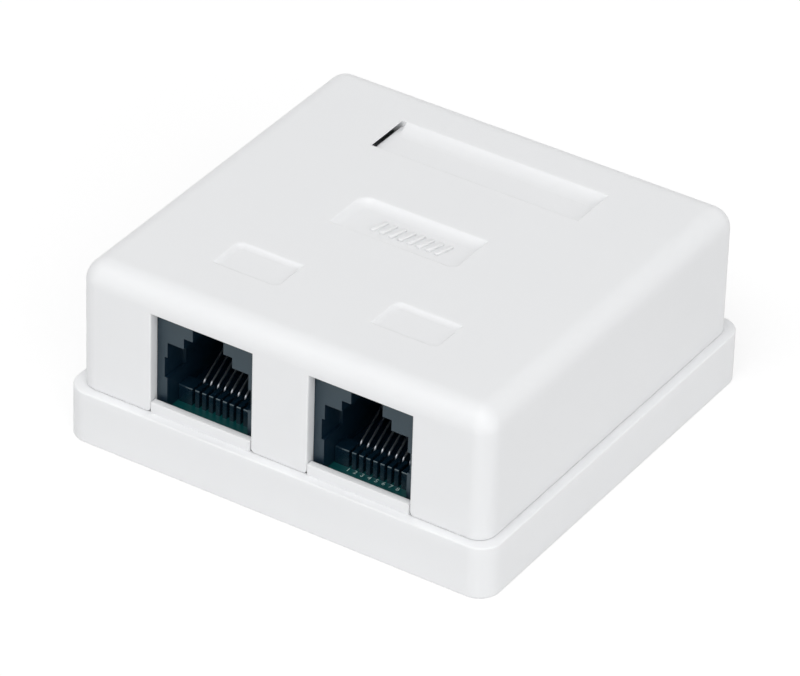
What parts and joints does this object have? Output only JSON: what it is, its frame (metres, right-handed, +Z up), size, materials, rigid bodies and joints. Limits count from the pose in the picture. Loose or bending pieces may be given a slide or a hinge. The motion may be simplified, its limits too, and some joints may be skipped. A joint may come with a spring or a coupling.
{
  "type": "surface mount jack box",
  "caption": "Low square wall box with a lift-off cover, modular jack ports in its front and punch-down blocks on a board inside.",
  "frame": {"origin": "middle of the underside", "axes": "+Z up out of the wall or desk, -Y out of the ports, +X to the right as seen from the ports"},
  "size_m": [0.062, 0.0604, 0.0256],
  "materials": {
    "case_white": "smooth satin moulded plastic, white",
    "jack_plastic": "satin moulded plastic, dark slate",
    "carrier_plastic": "satin moulded plastic, black",
    "block_plastic": "satin moulded plastic, off white",
    "board_laminate": "glass fibre laminate under green solder mask",
    "contact_wire": "bright plated spring wire",
    "terminal_bronze": "tin plated bronze strip",
    "screw_steel": "zinc plated steel"
  },
  "bodies": {
    "tray": {"base": "case_white", "circuit_board": "board_laminate", "board_screws": "screw_steel", "jack_housing_left": "jack_plastic", "jack_housing_right": "jack_plastic", "contact_carrier_left": "carrier_plastic", "contact_carrier_right": "carrier_plastic", "idc_block_left": "block_plastic", "idc_block_right": "block_plastic", "contact_left_1": "contact_wire", "contact_left_2": "contact_wire", "contact_left_3": "contact_wire", "contact_left_4": "contact_wire", "contact_left_5": "contact_wire", "contact_left_6": "contact_wire", "contact_left_7": "contact_wire", "contact_left_8": "contact_wire", "contact_right_1": "contact_wire", "contact_right_2": "contact_wire", "contact_right_3": "contact_wire", "contact_right_4": "contact_wire", "contact_right_5": "contact_wire", "contact_right_6": "contact_wire", "contact_right_7": "contact_wire", "contact_right_8": "contact_wire", "idc_terminal_left_1": "terminal_bronze", "idc_terminal_left_2": "terminal_bronze", "idc_terminal_left_3": "terminal_bronze", "idc_terminal_left_4": "terminal_bronze", "idc_terminal_left_5": "terminal_bronze", "idc_terminal_left_6": "terminal_bronze", "idc_terminal_left_7": "terminal_bronze", "idc_terminal_left_8": "terminal_bronze", "idc_terminal_right_1": "terminal_bronze", "idc_terminal_right_2": "terminal_bronze", "idc_terminal_right_3": "terminal_bronze", "idc_terminal_right_4": "terminal_bronze", "idc_terminal_right_5": "terminal_bronze", "idc_terminal_right_6": "terminal_bronze", "idc_terminal_right_7": "terminal_bronze", "idc_terminal_right_8": "terminal_bronze"},
    "cover": {"cover": "case_white"}
  },
  "joints": [
    {"name": "cover_lift", "type": "slide", "parent": "tray", "child": "cover", "axis": [0, 0, 1], "range_m": [0, 0.03]}
  ]
}
